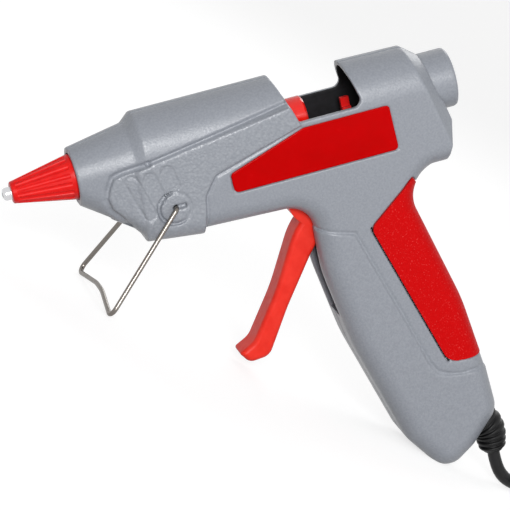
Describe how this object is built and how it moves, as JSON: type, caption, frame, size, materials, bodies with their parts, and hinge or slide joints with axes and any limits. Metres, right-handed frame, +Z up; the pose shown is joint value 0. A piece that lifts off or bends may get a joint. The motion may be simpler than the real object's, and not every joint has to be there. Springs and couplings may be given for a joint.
{
  "type": "glue gun",
  "caption": "Hot-melt glue gun with a finger trigger, a side-loading stick slot, a fluted nozzle sleeve, a fold-out wire stand and a coiled mains lead.",
  "frame": {"origin": "middle of the small flat foot on the front corner of the butt, which stands on the bench", "axes": "+Z up from the bench, -X towards the nozzle, +X towards the mains lead, +Y to the right side of the gun, where the screw heads are"},
  "size_m": [0.3589, 0.0949, 0.1548],
  "materials": {
    "shell": "moulded grey-blue plastic, fine spark texture",
    "label": "glossy red inset panel",
    "soft_grip": "speckled soft red insert",
    "trigger_red": "moulded orange-red plastic, satin",
    "silicone": "red silicone rubber",
    "nozzle_steel": "polished plated steel",
    "cast": "die-cast aluminium",
    "heat_support": "brown-black heat resistant moulding",
    "ceramic": "fired ceramic, matte",
    "film": "amber insulating film",
    "brass": "bare brass sheet",
    "jaw_red": "red moulded plastic",
    "slide": "black low-friction plastic",
    "steel": "drawn steel, satin",
    "wire_insulation": "white silicone wire insulation",
    "splice": "pale nylon crimp sleeve",
    "lead_sheath": "black flexible lead sheath",
    "plug_black": "black moulded plug",
    "pin_plate": "nickel-plated brass pins",
    "screw_steel": "blackened steel screws"
  },
  "bodies": {
    "housing": {"left_housing": "shell", "right_housing": "shell", "left_label_panel": "label", "right_label_panel": "label", "grip_insert": "soft_grip", "stick_guide": "shell", "nozzle": "nozzle_steel", "nozzle_sleeve": "silicone", "valve_spring": "steel", "melt_chamber": "cast", "heater_insulation": "film", "heater_electrodes": "brass", "heater_pills": "ceramic", "front_support": "heat_support", "rear_support": "heat_support", "inlet_sleeve": "silicone", "sleeve_clip": "steel", "trigger_pin": "steel", "return_spring": "steel", "lead_wires": "wire_insulation", "splice_connectors": "splice", "lead_inner_end": "lead_sheath", "cord_clamp": "slide", "clamp_screws": "steel", "strain_relief": "lead_sheath", "housing_screws": "screw_steel", "lead": "lead_sheath", "lead_coil": "lead_sheath", "lead_tail": "lead_sheath", "plug_body": "plug_black", "plug_sleeves": "plug_black", "plug_pins": "pin_plate"},
    "trigger": {"trigger": "trigger_red"},
    "carriage": {"carriage": "slide", "jaw_pin": "steel"},
    "jaw": {"clamp_jaw": "jaw_red"},
    "bail": {"bail": "steel"},
    "valve": {"valve_ball": "steel"}
  },
  "joints": [
    {"name": "trigger_pull", "type": "hinge", "parent": "housing", "child": "trigger", "pos_m": [-0.10527, 0, 0.07876], "axis": [0, -1, 0], "range_deg": [0, 24], "stiffness_Nm_per_rad": 0.12, "springref_deg": -28.65, "deforming": ["return_spring"]},
    {"name": "carriage_feed", "type": "slide", "parent": "housing", "child": "carriage", "axis": [-0.7555, 0, -0.6551], "range_m": [0, 0.00894]},
    {"name": "clamp_tilt", "type": "hinge", "parent": "carriage", "child": "jaw", "pos_m": [-0.10319, 0, 0.10836], "axis": [0, 1, 0], "range_deg": [0, 6.01]},
    {"name": "bail_fold", "type": "hinge", "parent": "housing", "child": "bail", "pos_m": [-0.16119, 0, 0.04999], "axis": [0, -1, 0], "range_deg": [0, 100]},
    {"name": "valve_lift", "type": "slide", "parent": "housing", "child": "valve", "axis": [-0.7555, 0, -0.6551], "range_m": [0, 0.0008], "stiffness_N_per_m": 50, "springref_m": -0.001, "deforming": ["valve_spring"]}
  ],
  "couplings": [
    {"joint": "carriage_feed", "follows": "trigger_pull", "m_per_rad": 0.021313},
    {"joint": "clamp_tilt", "follows": "trigger_pull", "ratio": 0.25}
  ]
}
